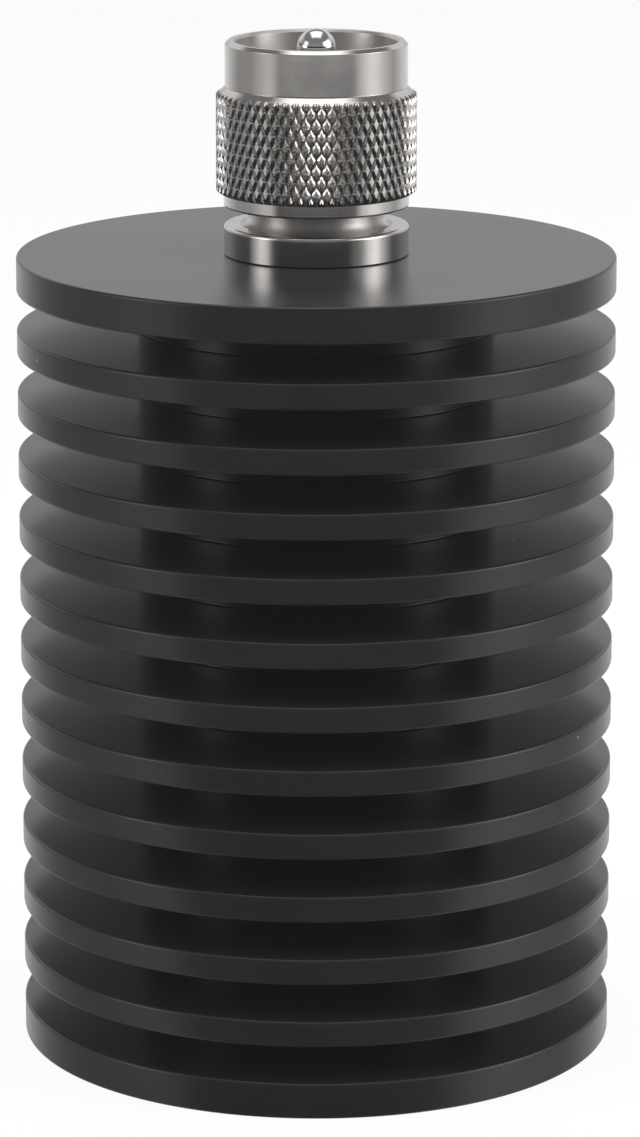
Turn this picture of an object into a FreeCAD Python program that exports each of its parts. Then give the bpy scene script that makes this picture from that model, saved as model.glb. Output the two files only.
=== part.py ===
import FreeCAD, Part
import math
import os
import re
import Sketcher
from FreeCAD import Rotation, Vector

# Coaxial terminator: a resistive load for the end of a coaxial line. A plug with a pin
# contact and a free-spinning knurled coupling nut stands on a heatsink turned from one
# bar with ring fins. A flange resistor on a D-section carrier lies in the blind bore.
# Millimetres. The origin is the centre of the heatsink's underside, and +Z is the axis
# that every turned piece shares.

sizes = {
    # Heatsink: thick end discs, thin fins between them, one groove beside each fin
    "heatsink_diameter": 60.0,
    "heatsink_core_diameter": 35.6,
    "disc_count": 13,
    "end_disc_thickness": 3.6,
    "fin_thickness": 2.6,
    "fin_gap": 3.72,
    "fin_edge_break": 0.25,
    # Coupling nut: plain band, diamond knurl, plain sleeve with the threaded mouth
    "nut_gap": 1.85,
    "band_height": 1.35,
    "band_rise": 0.15,
    "band_edge_break": 0.25,
    "knurl_length": 10.2,
    "knurl_rise": 0.9,
    "knurl_depth": 0.45,
    "knurl_diamonds": 60,
    "knurl_half_rows": 9,
    "knurl_bed_depth": 0.25,
    "knurl_chamfer": 0.4,
    "sleeve_length": 4.6,
    "rim_wall": 1.05,
    "thread_room": 0.675,
    "rim_chamfer": 0.35,
    "mouth_step": 0.575,
    "mouth_depth": 2.8,
    "mouth_bevel": 0.25,
    "lip_thickness": 2.55,
    "relief_length": 2.0,
    "relief_depth": 0.625,
    "nut_running_clearance": 0.06,
    # Connector body: pilot tube, toothed shoulder, neck, seat collar, threaded spigot
    "neck_root_round": 0.8,
    "shoulder_rise": 1.4,
    "tooth_count": 12,
    "tooth_step": 0.7,
    "tooth_height": 0.8,
    "tooth_slot_width": 1.6,
    "pilot_length": 3.0,
    "pilot_wall": 1.4,
    "insulator_step_depth": 1.0,
    "collar_height": 3.0,
    "collar_ledge": 1.25,
    "collar_round": 0.45,
    "collar_foot_bevel": 0.12,
    "spigot_length": 9.0,
    "spigot_wall": 2.9,
    "spigot_chamfer": 0.5,
    "spigot_clearance": 0.05,
    # Split ring, half in the neck and half in the nut, that holds the nut lengthways
    "ring_thickness": 1.0,
    "ring_bite": 0.65,
    "ring_split": 2.2,
    "ring_side_clearance": 0.1,
    "ring_seat_clearance": 0.1,
    "ring_outer_clearance": 0.25,
    # Contact pin, the standard size from which the plug's walls step outwards, and the two
    # insulators that hold it
    "pin_diameter": 3.96,
    "pin_above_rim": 1.15,
    "pin_root_step": 0.32,
    "pin_collar_step": 0.8,
    "pin_collar_thickness": 1.5,
    "pin_tail_step": 0.48,
    "pin_tail_length": 5.5,
    "pin_slot_depth": 2.0,
    "insulator_wall": 2.4,
    "insulator_shoulder": 0.4,
    "insulator_recess": 0.3,
    "insulator_clearance": 0.02,
    "rear_insulator_length": 5.0,
    # Carrier: round head against the spigot, D-section bar down to the bore's floor
    "bore_step": 0.5,
    "carrier_clearance": 0.05,
    "carrier_head_thickness": 3.0,
    "carrier_foot": 10.0,
    "window_clearance": 1.5,
    # Flange resistor: flange, ceramic chip, lead between chip and lid, one mounting screw
    "flange_inset": 3.0,
    "flange_width": 9.0,
    "flange_thickness": 1.6,
    "flange_ear": 10.0,
    "chip_length": 9.5,
    "chip_inset": 0.5,
    "chip_side_inset": 0.7,
    "chip_thickness": 1.0,
    "lid_inset": 1.0,
    "lid_side_inset": 0.6,
    "lid_thickness": 1.2,
    "lead_width": 1.2,
    "lead_thickness": 0.2,
    "lead_overlap": 1.4,
    "lead_slot_clearance": 0.02,
    "screw_diameter": 3.0,
    "screw_edge_distance": 4.5,
    "screw_hole_clearance": 0.2,
    "screw_tip_cover": 1.15,
    "screw_tapping_runout": 0.5,
    "screw_head_overhang": 1.25,
    "screw_head_height": 1.8,
    "screw_head_round": 0.5,
    "screw_socket_width": 2.0,
    "screw_socket_depth": 1.0,
    "washer_overhang": 0.05,
    "washer_thickness": 0.8,
    "washer_split": 0.7,
    # How far a cutting shape runs past the face that it cuts
    "cut_margin": 1.0,
}

# Diameters, heights up the axis and levels across it, each from the sizes and the places
# before it
places = {
    "top_face": "2 * end_disc_thickness + (disc_count - 2) * fin_thickness + (disc_count - 1) * fin_gap",
    "fin_pitch": "fin_thickness + fin_gap",
    # Diameters of the pin, then outwards from it through the body to the nut
    "pin_tail_diameter": "pin_diameter - 2 * pin_tail_step",
    "pin_root_diameter": "pin_diameter + 2 * pin_root_step",
    "pin_collar_diameter": "pin_root_diameter + 2 * pin_collar_step",
    "pilot_bore_diameter": "pin_root_diameter + 2 * insulator_wall",
    "insulator_bore_diameter": "pilot_bore_diameter + 2 * insulator_shoulder",
    "pilot_diameter": "pilot_bore_diameter + 2 * pilot_wall",
    "neck_diameter": "pilot_diameter + 2 * tooth_step",
    "spigot_diameter": "insulator_bore_diameter + 2 * spigot_wall",
    "collar_diameter": "spigot_diameter + 2 * collar_ledge",
    "load_bore_diameter": "spigot_diameter - 2 * bore_step",
    "ring_inner_diameter": "neck_diameter - 2 * ring_bite",
    "ring_outer_diameter": "neck_diameter + 2 * ring_bite",
    "thread_minor_diameter": "neck_diameter + 2 * thread_room",
    "relief_diameter": "thread_minor_diameter + 2 * relief_depth",
    "mouth_diameter": "thread_minor_diameter + 2 * mouth_step",
    "sleeve_diameter": "mouth_diameter + 2 * rim_wall",
    "band_diameter": "sleeve_diameter + 2 * band_rise",
    "knurl_diameter": "sleeve_diameter + 2 * knurl_rise",
    "knurl_root_diameter": "knurl_diameter - 2 * knurl_depth",
    "knurl_bed_diameter": "knurl_root_diameter - 2 * knurl_bed_depth",
    # Heights of the plug above the top face
    "collar_top": "top_face + collar_height",
    "nut_base": "collar_top + nut_gap",
    "band_top": "nut_base + band_height",
    "knurl_top": "band_top + knurl_length",
    "rim": "knurl_top + knurl_chamfer + sleeve_length",
    "lip_top": "nut_base + lip_thickness",
    "ring_middle": "nut_base + lip_thickness / 2",
    "relief_top": "lip_top + relief_length",
    "shoulder_top": "lip_top + shoulder_rise",
    "pilot_top": "shoulder_top + pilot_length",
    "insulator_step": "shoulder_top - insulator_step_depth",
    "insulator_face": "pilot_top - insulator_recess",
    "pin_tip": "rim + pin_above_rim",
    # Heights of what lies in the heatsink's bore, downwards from the spigot
    "spigot_end": "top_face - spigot_length",
    "insulator_joint": "spigot_end + rear_insulator_length",
    "pin_end": "spigot_end - pin_tail_length",
    "carrier_head_end": "spigot_end - carrier_head_thickness",
    "flange_end": "carrier_head_end - flange_inset",
    "flange_length": "chip_inset + chip_length + flange_ear",
    "chip_end": "flange_end - chip_inset",
    "lid_end": "chip_end - lid_inset",
    "screw_height": "flange_end - flange_length + screw_edge_distance",
    "bore_floor": "flange_end - flange_length - carrier_foot",
    # Levels of the resistor's layers, from the carrier's flat: the lead meets the axis
    "carrier_radius": "load_bore_diameter / 2 - carrier_clearance",
    "flat_level": "0 - flange_thickness - chip_thickness - lead_thickness / 2",
    "flange_level": "flat_level + flange_thickness",
    "chip_level": "flange_level + chip_thickness",
    "chip_width": "flange_width - 2 * chip_side_inset",
    "lid_width": "chip_width - 2 * lid_side_inset",
    "lid_length": "chip_length - 2 * lid_inset",
    "screw_seat": "flange_level + washer_thickness",
    "screw_length": "screw_seat + carrier_radius - screw_tip_cover",
    "screw_head_diameter": "screw_diameter + 2 * screw_head_overhang",
    "washer_diameter": "screw_head_diameter + 2 * washer_overhang",
}

document = FreeCAD.newDocument("CoaxialTerminator")


def fill_sheet(name, cells, prefix):
    sheet = document.addObject("Spreadsheet::Sheet", name)
    for row, (alias, content) in enumerate(cells.items(), start=1):
        sheet.set(f"A{row}", alias)
        sheet.set(f"B{row}", prefix + linked(content, name))
        sheet.setAlias(f"B{row}", alias)
    document.recompute()
    return sheet


def linked(formula, owner=""):
    # puts the sheet's name in front of every size and place in a formula
    def with_sheet(match):
        word = match.group(0)
        for sheet, cells in (("Sizes", sizes), ("Places", places)):
            if word in cells and sheet != owner:
                return f"{sheet}.{word}"
        return word

    return re.sub(r"[a-z]\w+", with_sheet, str(formula))


size_sheet = fill_sheet("Sizes", sizes, "")
place_sheet = fill_sheet("Places", places, "=")


def value(name):
    sheet = size_sheet if name in sizes else place_sheet
    return float(sheet.get(name))


def bind(feature, **formulas):
    for name, formula in formulas.items():
        feature.setExpression(name, linked(formula))


def put_at(feature, **formulas):
    for axis, formula in formulas.items():
        feature.setExpression(f".Placement.Base.{axis}", linked(formula))


# Sketches and features of the turned bodies

def new_body(name):
    return document.addObject("PartDesign::Body", name)


def new_sketch(body, name, role):
    plane = next(part for part in body.Origin.OriginFeatures if part.Role == role)
    sketch = body.newObject("Sketcher::SketchObject", name)
    sketch.AttachmentSupport = [(plane, "")]
    sketch.MapMode = "FlatFace"
    return sketch


def dimension(sketch, kind, line, formula):
    # places a line's start from the sketch's origin
    number = sketch.addConstraint(Sketcher.Constraint(kind, -1, 1, line, 1, line + 1.0))
    sketch.setExpression(f"Constraints[{number}]", linked(formula))


def half_section(body, name, corners):
    # a closed outline beside the axis: each corner is a radius and a height
    sketch = new_sketch(body, name, "XZ_Plane")
    count = len(corners)
    start = [Vector(line + 1, line + 1 + line % 2, 0) for line in range(count)]
    for line in range(count):
        sketch.addGeometry(Part.LineSegment(start[line], start[(line + 1) % count]))
    for line in range(count):
        sketch.addConstraint(Sketcher.Constraint("Coincident", line, 2, (line + 1) % count, 1))
    last_radius, last_height = None, None
    for line, (radius, height) in enumerate(corners):
        if radius == "axis":
            sketch.addConstraint(Sketcher.Constraint("PointOnObject", line, 1, -2))
        elif radius == last_radius:
            sketch.addConstraint(Sketcher.Constraint("Vertical", line - 1))
        else:
            dimension(sketch, "DistanceX", line, radius)
        if height == "base":
            sketch.addConstraint(Sketcher.Constraint("PointOnObject", line, 1, -1))
        elif height == last_height:
            sketch.addConstraint(Sketcher.Constraint("Horizontal", line - 1))
        else:
            dimension(sketch, "DistanceY", line, height)
        last_radius, last_height = radius, height
    document.recompute()
    return sketch


def turn(body, name, corners):
    feature = body.newObject("PartDesign::Revolution", name)
    feature.Profile = half_section(body, name + "Outline", corners)
    feature.ReferenceAxis = (feature.Profile[0], ["V_Axis"])
    feature.Angle = 360
    document.recompute()
    return feature


def turn_away(body, name, corners):
    before = body.Shape.Volume
    feature = body.newObject("PartDesign::Groove", name)
    feature.Profile = half_section(body, name + "Outline", corners)
    feature.ReferenceAxis = (feature.Profile[0], ["V_Axis"])
    feature.Angle = 360
    check_cut(body, before, name)
    return feature


def check_cut(body, before, name):
    document.recompute()
    if body.Shape.Volume >= before:
        raise RuntimeError(f"{name} removed nothing")


def edge_circles(shape, diameter, height):
    names = []
    for number, edge in enumerate(shape.Edges, start=1):
        curve = edge.Curve
        if not isinstance(curve, Part.Circle):
            continue
        right_size = abs(curve.Radius - diameter / 2) < 1e-6
        if right_size and abs(curve.Center.z - height) < 1e-6:
            names.append(f"Edge{number}")
    return names


def round_edge(body, name, diameter, height, radius):
    base = body.Tip
    feature = body.newObject("PartDesign::Fillet", name)
    feature.Base = (base, edge_circles(base.Shape, value(diameter), value(height)))
    bind(feature, Radius=radius)
    document.recompute()
    return feature


# Part primitives, with sizes and places bound to the sheets

def cylinder(name, radius, height, bottom):
    shape = document.addObject("Part::Cylinder", name)
    bind(shape, Radius=radius, Height=height)
    put_at(shape, z=bottom)
    return shape


def box(name, length, width, height, x, y, z):
    shape = document.addObject("Part::Box", name)
    bind(shape, Length=length, Width=width, Height=height)
    put_at(shape, x=x, y=y, z=z)
    return shape


def join(name, shapes):
    result = document.addObject("Part::MultiFuse", name)
    result.Shapes = shapes
    result.Refine = True
    return result


def cut(name, base, tool):
    result = document.addObject("Part::Cut", name)
    result.Base = base
    result.Tool = tool
    result.Refine = True
    return result


def make_heatsink():
    body = new_body("Heatsink")
    outer = "heatsink_diameter / 2"
    core = "heatsink_core_diameter / 2"
    turn(body, "Bar", [
        ("axis", "base"),
        (f"{outer} - fin_edge_break", "base"),
        (outer, "fin_edge_break"),
        (outer, "top_face - fin_edge_break"),
        (f"{outer} - fin_edge_break", "top_face"),
        ("axis", "top_face"),
    ])
    # one groove with both its fins' edges broken, then the same groove up the bar
    groove = turn_away(body, "FinGroove", [
        (core, "end_disc_thickness"),
        (f"{outer} - fin_edge_break", "end_disc_thickness"),
        (f"{outer} + cut_margin", "end_disc_thickness - fin_edge_break - cut_margin"),
        (f"{outer} + cut_margin", "end_disc_thickness + fin_gap + fin_edge_break + cut_margin"),
        (f"{outer} - fin_edge_break", "end_disc_thickness + fin_gap"),
        (core, "end_disc_thickness + fin_gap"),
    ])
    before = body.Shape.Volume
    row = body.newObject("PartDesign::LinearPattern", "FinGrooves")
    row.Originals = [groove]
    row.Direction = (groove.Profile[0], ["V_Axis"])
    bind(row, Length="fin_pitch * (disc_count - 2)", Occurrences="disc_count - 1")
    body.Tip = row
    check_cut(body, before, "FinGrooves")
    spigot_bore = "spigot_diameter / 2 + spigot_clearance"
    turn_away(body, "LoadBore", [
        ("axis", "bore_floor"),
        ("load_bore_diameter / 2", "bore_floor"),
        ("load_bore_diameter / 2", "spigot_end"),
        (spigot_bore, "spigot_end"),
        (spigot_bore, "top_face - spigot_chamfer"),
        (f"{spigot_bore} + spigot_chamfer + cut_margin", "top_face + cut_margin"),
        ("axis", "top_face + cut_margin"),
    ])
    return body


def make_connector_body():
    body = new_body("ConnectorBody")
    turn(body, "Turning", [
        ("axis", "spigot_end"),
        ("spigot_diameter / 2 - spigot_chamfer", "spigot_end"),
        ("spigot_diameter / 2", "spigot_end + spigot_chamfer"),
        ("spigot_diameter / 2", "top_face"),
        ("collar_diameter / 2 - collar_foot_bevel", "top_face"),
        ("collar_diameter / 2", "top_face + collar_foot_bevel"),
        ("collar_diameter / 2", "collar_top"),
        ("neck_diameter / 2", "collar_top"),
        ("neck_diameter / 2", "shoulder_top"),
        ("pilot_diameter / 2", "shoulder_top"),
        ("pilot_diameter / 2", "pilot_top"),
        ("axis", "pilot_top"),
    ])
    turn_away(body, "InsulatorBore", [
        ("axis", "spigot_end - cut_margin"),
        ("insulator_bore_diameter / 2", "spigot_end - cut_margin"),
        ("insulator_bore_diameter / 2", "insulator_step"),
        ("pilot_bore_diameter / 2", "insulator_step"),
        ("pilot_bore_diameter / 2", "pilot_top + cut_margin"),
        ("axis", "pilot_top + cut_margin"),
    ])
    seat = "ring_inner_diameter / 2 - ring_seat_clearance"
    half_width = "(ring_thickness / 2 + ring_side_clearance)"
    turn_away(body, "RingGroove", [
        (seat, f"ring_middle - {half_width}"),
        ("neck_diameter / 2 + cut_margin", f"ring_middle - {half_width}"),
        ("neck_diameter / 2 + cut_margin", f"ring_middle + {half_width}"),
        (seat, f"ring_middle + {half_width}"),
    ])
    round_edge(body, "CollarRound", "collar_diameter", "collar_top", "collar_round")
    round_edge(body, "NeckRound", "neck_diameter", "collar_top", "neck_root_round")
    cut_teeth(body)
    return body


def cut_teeth(body):
    # the shoulder's front edge is a crown of teeth that bites into the mating socket's rim
    sketch = new_sketch(body, "ToothSlotOutline", "XZ_Plane")
    corners = [Vector(1, 1, 0), Vector(2, 1, 0), Vector(2, 2, 0), Vector(1, 2, 0)]
    for line in range(4):
        sketch.addGeometry(Part.LineSegment(corners[line], corners[(line + 1) % 4]))
    for line in range(4):
        sketch.addConstraint(Sketcher.Constraint("Coincident", line, 2, (line + 1) % 4, 1))
    for kind, line in (("Vertical", 1), ("Horizontal", 2), ("Vertical", 3)):
        sketch.addConstraint(Sketcher.Constraint(kind, line))
    sketch.addConstraint(Sketcher.Constraint("Symmetric", 0, 1, 0, 2, -2))
    width = sketch.addConstraint(Sketcher.Constraint("DistanceX", 0, 1, 0, 2, 1.0))
    sketch.setExpression(f"Constraints[{width}]", linked("tooth_slot_width"))
    dimension(sketch, "DistanceY", 0, "shoulder_top - tooth_height")
    dimension(sketch, "DistanceY", 2, "shoulder_top + cut_margin")
    document.recompute()
    before = body.Shape.Volume
    slot = body.newObject("PartDesign::Pocket", "ToothSlot")
    slot.Profile = sketch
    bind(slot, Length="neck_diameter / 2 + cut_margin")
    check_cut(body, before, "ToothSlot")
    before = body.Shape.Volume
    ring = body.newObject("PartDesign::PolarPattern", "ToothSlots")
    ring.Originals = [slot]
    ring.Axis = (sketch, ["V_Axis"])
    ring.Angle = 360
    bind(ring, Occurrences="tooth_count")
    body.Tip = ring
    check_cut(body, before, "ToothSlots")


def knurl_drum():
    # Two families of helical V grooves cross all round the nut and leave four-sided
    # pyramids. Their corners lie on a grid of half diamonds: the grooves cross on one
    # colour of a chessboard at the root diameter, and the points stand on the other at
    # the full diameter. The points of both end rows come down to the root.
    columns = 2 * round(value("knurl_diamonds"))
    rows = round(value("knurl_half_rows"))
    root = value("knurl_root_diameter") / 2
    crown = value("knurl_diameter") / 2
    row_height = value("knurl_length") / rows
    points = []
    for row in range(rows + 1):
        for column in range(columns):
            is_point = (row + column) % 2 == 1 and 0 < row < rows
            radius = crown if is_point else root
            angle = 2 * math.pi * column / columns
            height = value("band_top") + row * row_height
            points.append(Vector(radius * math.cos(angle), radius * math.sin(angle), height))
    triangles = []
    for row in range(rows):
        for column in range(columns):
            here = row * columns + column
            beside = row * columns + (column + 1) % columns
            above = here + columns
            above_beside = beside + columns
            if (row + column) % 2 == 0:
                # both lower left and upper right are crossings, so a groove joins them
                triangles += [(here, beside, above_beside), (here, above_beside, above)]
            else:
                triangles += [(here, beside, above), (beside, above_beside, above)]
    lower_centre = len(points)
    upper_centre = lower_centre + 1
    points.append(Vector(0, 0, value("band_top")))
    points.append(Vector(0, 0, value("knurl_top")))
    top_row = rows * columns
    for column in range(columns):
        following = (column + 1) % columns
        triangles.append((lower_centre, following, column))
        triangles.append((upper_centre, top_row + column, top_row + following))
    shell = Part.Shape()
    shell.makeShapeFromMesh((points, triangles), 1e-6)
    return Part.Solid(Part.Shell(shell.Faces))


def make_coupling_nut():
    blank = new_body("NutBlank")
    turn(blank, "Turning", [
        ("axis", "nut_base"),
        ("band_diameter / 2 - band_edge_break", "nut_base"),
        ("band_diameter / 2", "nut_base + band_edge_break"),
        ("band_diameter / 2", "band_top"),
        ("knurl_bed_diameter / 2", "band_top"),
        ("knurl_bed_diameter / 2", "knurl_top"),
        ("knurl_root_diameter / 2", "knurl_top"),
        ("sleeve_diameter / 2", "knurl_top + knurl_chamfer"),
        ("sleeve_diameter / 2", "rim - rim_chamfer"),
        ("sleeve_diameter / 2 - rim_chamfer", "rim"),
        ("axis", "rim"),
    ])
    thread = "thread_minor_diameter / 2"
    lip = "neck_diameter / 2 + nut_running_clearance"
    turn_away(blank, "ThreadBore", [
        ("axis", "nut_base - cut_margin"),
        (lip, "nut_base - cut_margin"),
        (lip, "lip_top"),
        ("relief_diameter / 2", "lip_top"),
        ("relief_diameter / 2", "relief_top"),
        (thread, "relief_top + relief_depth"),
        (thread, "rim - mouth_depth - mouth_step"),
        ("mouth_diameter / 2", "rim - mouth_depth"),
        ("mouth_diameter / 2", "rim - mouth_bevel"),
        ("mouth_diameter / 2 + mouth_bevel + cut_margin", "rim + cut_margin"),
        ("axis", "rim + cut_margin"),
    ])
    ring_pocket = "ring_outer_diameter / 2 + ring_outer_clearance"
    half_width = "(ring_thickness / 2 + ring_side_clearance)"
    turn_away(blank, "RingPocket", [
        ("neck_diameter / 2 - cut_margin", f"ring_middle - {half_width}"),
        (ring_pocket, f"ring_middle - {half_width}"),
        (ring_pocket, f"ring_middle + {half_width}"),
        ("neck_diameter / 2 - cut_margin", f"ring_middle + {half_width}"),
    ])
    drum = document.addObject("Part::Feature", "KnurlDrum")
    drum.Shape = knurl_drum()
    hollow = cylinder(
        "KnurlHollow",
        "knurl_bed_diameter / 2 - knurl_bed_depth",
        "knurl_length + 2 * cut_margin",
        "band_top - cut_margin",
    )
    return join("CouplingNut", [blank, cut("KnurlBand", drum, hollow)])


def make_nut_ring():
    bottom = "ring_middle - ring_thickness / 2"
    disc = cylinder("RingDisc", "ring_outer_diameter / 2", "ring_thickness", bottom)
    hole = cylinder(
        "RingHole",
        "ring_inner_diameter / 2",
        "ring_thickness + 2 * cut_margin",
        f"{bottom} - cut_margin",
    )
    split = box(
        "RingSplit",
        "ring_outer_diameter",
        "ring_split",
        "ring_thickness + 2 * cut_margin",
        "0",
        "0 - ring_split / 2",
        f"{bottom} - cut_margin",
    )
    return cut("NutRing", cut("RingClosed", disc, hole), split)


def make_front_insulator():
    body = new_body("FrontInsulator")
    turn(body, "Bead", [
        ("axis", "insulator_joint"),
        ("insulator_bore_diameter / 2 - insulator_clearance", "insulator_joint"),
        ("insulator_bore_diameter / 2 - insulator_clearance", "insulator_step"),
        ("pilot_bore_diameter / 2 - insulator_clearance", "insulator_step"),
        ("pilot_bore_diameter / 2 - insulator_clearance", "insulator_face"),
        ("axis", "insulator_face"),
    ])
    collar_room = "pin_collar_diameter / 2 + insulator_clearance"
    pin_room = "pin_root_diameter / 2 + insulator_clearance"
    turn_away(body, "PinHole", [
        ("axis", "insulator_joint - cut_margin"),
        (collar_room, "insulator_joint - cut_margin"),
        (collar_room, "insulator_joint + pin_collar_thickness"),
        (pin_room, "insulator_joint + pin_collar_thickness"),
        (pin_room, "pilot_top + cut_margin"),
        ("axis", "pilot_top + cut_margin"),
    ])
    return body


def make_rear_insulator():
    bead = cylinder(
        "RearBead",
        "insulator_bore_diameter / 2 - insulator_clearance",
        "rear_insulator_length",
        "spigot_end",
    )
    hole = cylinder(
        "TailHole",
        "pin_tail_diameter / 2 + insulator_clearance",
        "rear_insulator_length + 2 * cut_margin",
        "spigot_end - cut_margin",
    )
    return cut("RearInsulator", bead, hole)


def make_contact_pin():
    root = cylinder(
        "PinRoot",
        "pin_root_diameter / 2",
        "insulator_face - insulator_joint",
        "insulator_joint",
    )
    rod = cylinder(
        "PinRod",
        "pin_diameter / 2",
        "pin_tip - pin_diameter / 2 - insulator_joint",
        "insulator_joint",
    )
    nose = document.addObject("Part::Sphere", "PinNose")
    bind(nose, Radius="pin_diameter / 2")
    put_at(nose, z="pin_tip - pin_diameter / 2")
    collar = cylinder("PinCollar", "pin_collar_diameter / 2", "pin_collar_thickness", "insulator_joint")
    tail = cylinder("PinTail", "pin_tail_diameter / 2", "insulator_joint - pin_end", "pin_end")
    # the tail is sawn open for the resistor's lead
    slot = box(
        "LeadSlot",
        "pin_tail_diameter + 2 * cut_margin",
        "lead_thickness + 2 * lead_slot_clearance",
        "pin_slot_depth + cut_margin",
        "0 - pin_tail_diameter / 2 - cut_margin",
        "0 - lead_thickness / 2 - lead_slot_clearance",
        "pin_end - cut_margin",
    )
    return cut("ContactPin", join("PinTurning", [root, rod, nose, collar, tail]), slot)


def make_carrier():
    bar = cylinder("CarrierBar", "carrier_radius", "spigot_end - bore_floor", "bore_floor")
    milled = box(
        "CarrierFlat",
        "load_bore_diameter",
        "load_bore_diameter",
        "carrier_head_end - bore_floor + cut_margin",
        "0 - load_bore_diameter / 2",
        "flat_level",
        "bore_floor - cut_margin",
    )
    window = cylinder(
        "LeadWindow",
        "pin_tail_diameter / 2 + window_clearance",
        "carrier_head_thickness + 2 * cut_margin",
        "carrier_head_end - cut_margin",
    )
    # the screw's hole goes in from the flat, across the axis
    tapping = cylinder(
        "CarrierTapping",
        "screw_diameter / 2",
        "flat_level - screw_seat + screw_length + screw_tapping_runout + cut_margin",
        "screw_height",
    )
    tapping.Placement.Rotation = Rotation(Vector(1, 0, 0), 90)
    put_at(tapping, y="flat_level + cut_margin")
    shape = cut("CarrierSection", bar, milled)
    return cut("ResistorCarrier", cut("CarrierHead", shape, window), tapping)


def make_resistor():
    plate = box(
        "FlangePlate",
        "flange_width",
        "flange_thickness",
        "flange_length",
        "0 - flange_width / 2",
        "flat_level",
        "flange_end - flange_length",
    )
    hole = cylinder(
        "FlangeHole",
        "screw_diameter / 2 + screw_hole_clearance",
        "flange_thickness + 2 * cut_margin",
        "screw_height",
    )
    hole.Placement.Rotation = Rotation(Vector(1, 0, 0), 90)
    put_at(hole, y="flange_level + cut_margin")
    chip = box(
        "ResistorChip",
        "chip_width",
        "chip_thickness",
        "chip_length",
        "0 - chip_width / 2",
        "flange_level",
        "chip_end - chip_length",
    )
    lead = box(
        "ResistorLead",
        "lead_width",
        "lead_thickness",
        "pin_end + pin_slot_depth - chip_end + lead_overlap",
        "0 - lead_width / 2",
        "chip_level",
        "chip_end - lead_overlap",
    )
    lid = box(
        "LidBlock",
        "lid_width",
        "lid_thickness",
        "lid_length",
        "0 - lid_width / 2",
        "chip_level",
        "lid_end - lid_length",
    )
    # the lid bridges the lead's soldered end
    lead_room = box(
        "LidNotch",
        "lead_width",
        "lead_thickness",
        "lead_overlap + cut_margin",
        "0 - lead_width / 2",
        "chip_level",
        "chip_end - lead_overlap",
    )
    flange = cut("ResistorFlange", plate, hole)
    return flange, chip, lead, cut("ResistorLid", lid, lead_room)


def make_screw_and_washer():
    head = cylinder("ScrewHead", "screw_head_diameter / 2", "screw_head_height", "0")
    domed = document.addObject("Part::Fillet", "ScrewDome")
    domed.Base = head
    document.recompute()
    top_edges = edge_circles(head.Shape, value("screw_head_diameter"), value("screw_head_height"))
    round_size = value("screw_head_round")
    domed.Edges = [(int(edge[4:]), round_size, round_size) for edge in top_edges]
    socket = document.addObject("Part::Prism", "ScrewSocket")
    socket.Polygon = 6
    bind(socket, Circumradius="screw_socket_width / sqrt(3)", Height="screw_socket_depth + cut_margin")
    put_at(socket, z="screw_head_height - screw_socket_depth")
    shank = cylinder("ScrewShank", "screw_diameter / 2", "screw_length", "0 - screw_length")
    screw = cut("ResistorScrew", join("ScrewTurning", [domed, shank]), socket)
    stand_on_flange(screw, "screw_seat")

    ring = cylinder("WasherDisc", "washer_diameter / 2", "washer_thickness", "0")
    hole = cylinder(
        "WasherHole",
        "screw_diameter / 2 + screw_hole_clearance",
        "washer_thickness + 2 * cut_margin",
        "0 - cut_margin",
    )
    split = box(
        "WasherSplit",
        "washer_diameter",
        "washer_split",
        "washer_thickness + 2 * cut_margin",
        "0",
        "0 - washer_split / 2",
        "0 - cut_margin",
    )
    washer = cut("LockWasher", cut("WasherRing", ring, hole), split)
    stand_on_flange(washer, "flange_level")
    return screw, washer


def stand_on_flange(piece, level):
    # turns a piece that was built along +Z so that it stands on the flange, along +Y
    piece.Placement.Rotation = Rotation(Vector(1, 0, 0), -90)
    put_at(piece, y=level, z="screw_height")


def check_and_write(pieces):
    document.recompute()
    for item in document.Objects:
        if "Invalid" in item.State or "Error" in item.State:
            raise RuntimeError(f"{item.Name} did not build: {item.State}")
    os.makedirs("parts", exist_ok=True)
    for label, piece in pieces.items():
        piece.Label = label
        shape = piece.Shape
        if shape.isNull() or not shape.isValid() or not shape.Solids:
            raise RuntimeError(f"{label} is not a valid solid")
        shape.exportStep(f"parts/{label}.step")
        print(f"{label}: {len(shape.Solids)} solid, {shape.Volume:.1f} mm3")


flange, chip, lead, lid = make_resistor()
screw, washer = make_screw_and_washer()
check_and_write({
    "heatsink": make_heatsink(),
    "connector_body": make_connector_body(),
    "coupling_nut": make_coupling_nut(),
    "nut_snap_ring": make_nut_ring(),
    "front_insulator": make_front_insulator(),
    "rear_insulator": make_rear_insulator(),
    "centre_pin": make_contact_pin(),
    "resistor_carrier": make_carrier(),
    "resistor_flange": flange,
    "resistor_chip": chip,
    "resistor_lead": lead,
    "resistor_lid": lid,
    "resistor_screw": screw,
    "lock_washer": washer,
})
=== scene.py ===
import math

import bmesh
import bpy
from mathutils import Matrix, Vector


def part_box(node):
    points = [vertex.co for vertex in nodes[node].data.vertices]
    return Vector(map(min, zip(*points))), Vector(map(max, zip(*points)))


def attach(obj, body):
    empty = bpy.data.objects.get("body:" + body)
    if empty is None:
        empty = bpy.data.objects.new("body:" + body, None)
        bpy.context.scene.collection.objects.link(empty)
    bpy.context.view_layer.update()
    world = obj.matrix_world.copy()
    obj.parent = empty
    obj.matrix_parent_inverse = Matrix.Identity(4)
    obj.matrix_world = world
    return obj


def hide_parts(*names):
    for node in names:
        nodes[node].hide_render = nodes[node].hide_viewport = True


# Coaxial terminator: black finned heatsink with a nickel plug and its knurled coupling nut.
# The dictionaries hold millimetres; meshes are made in metres, on the frame's axis.

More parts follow.
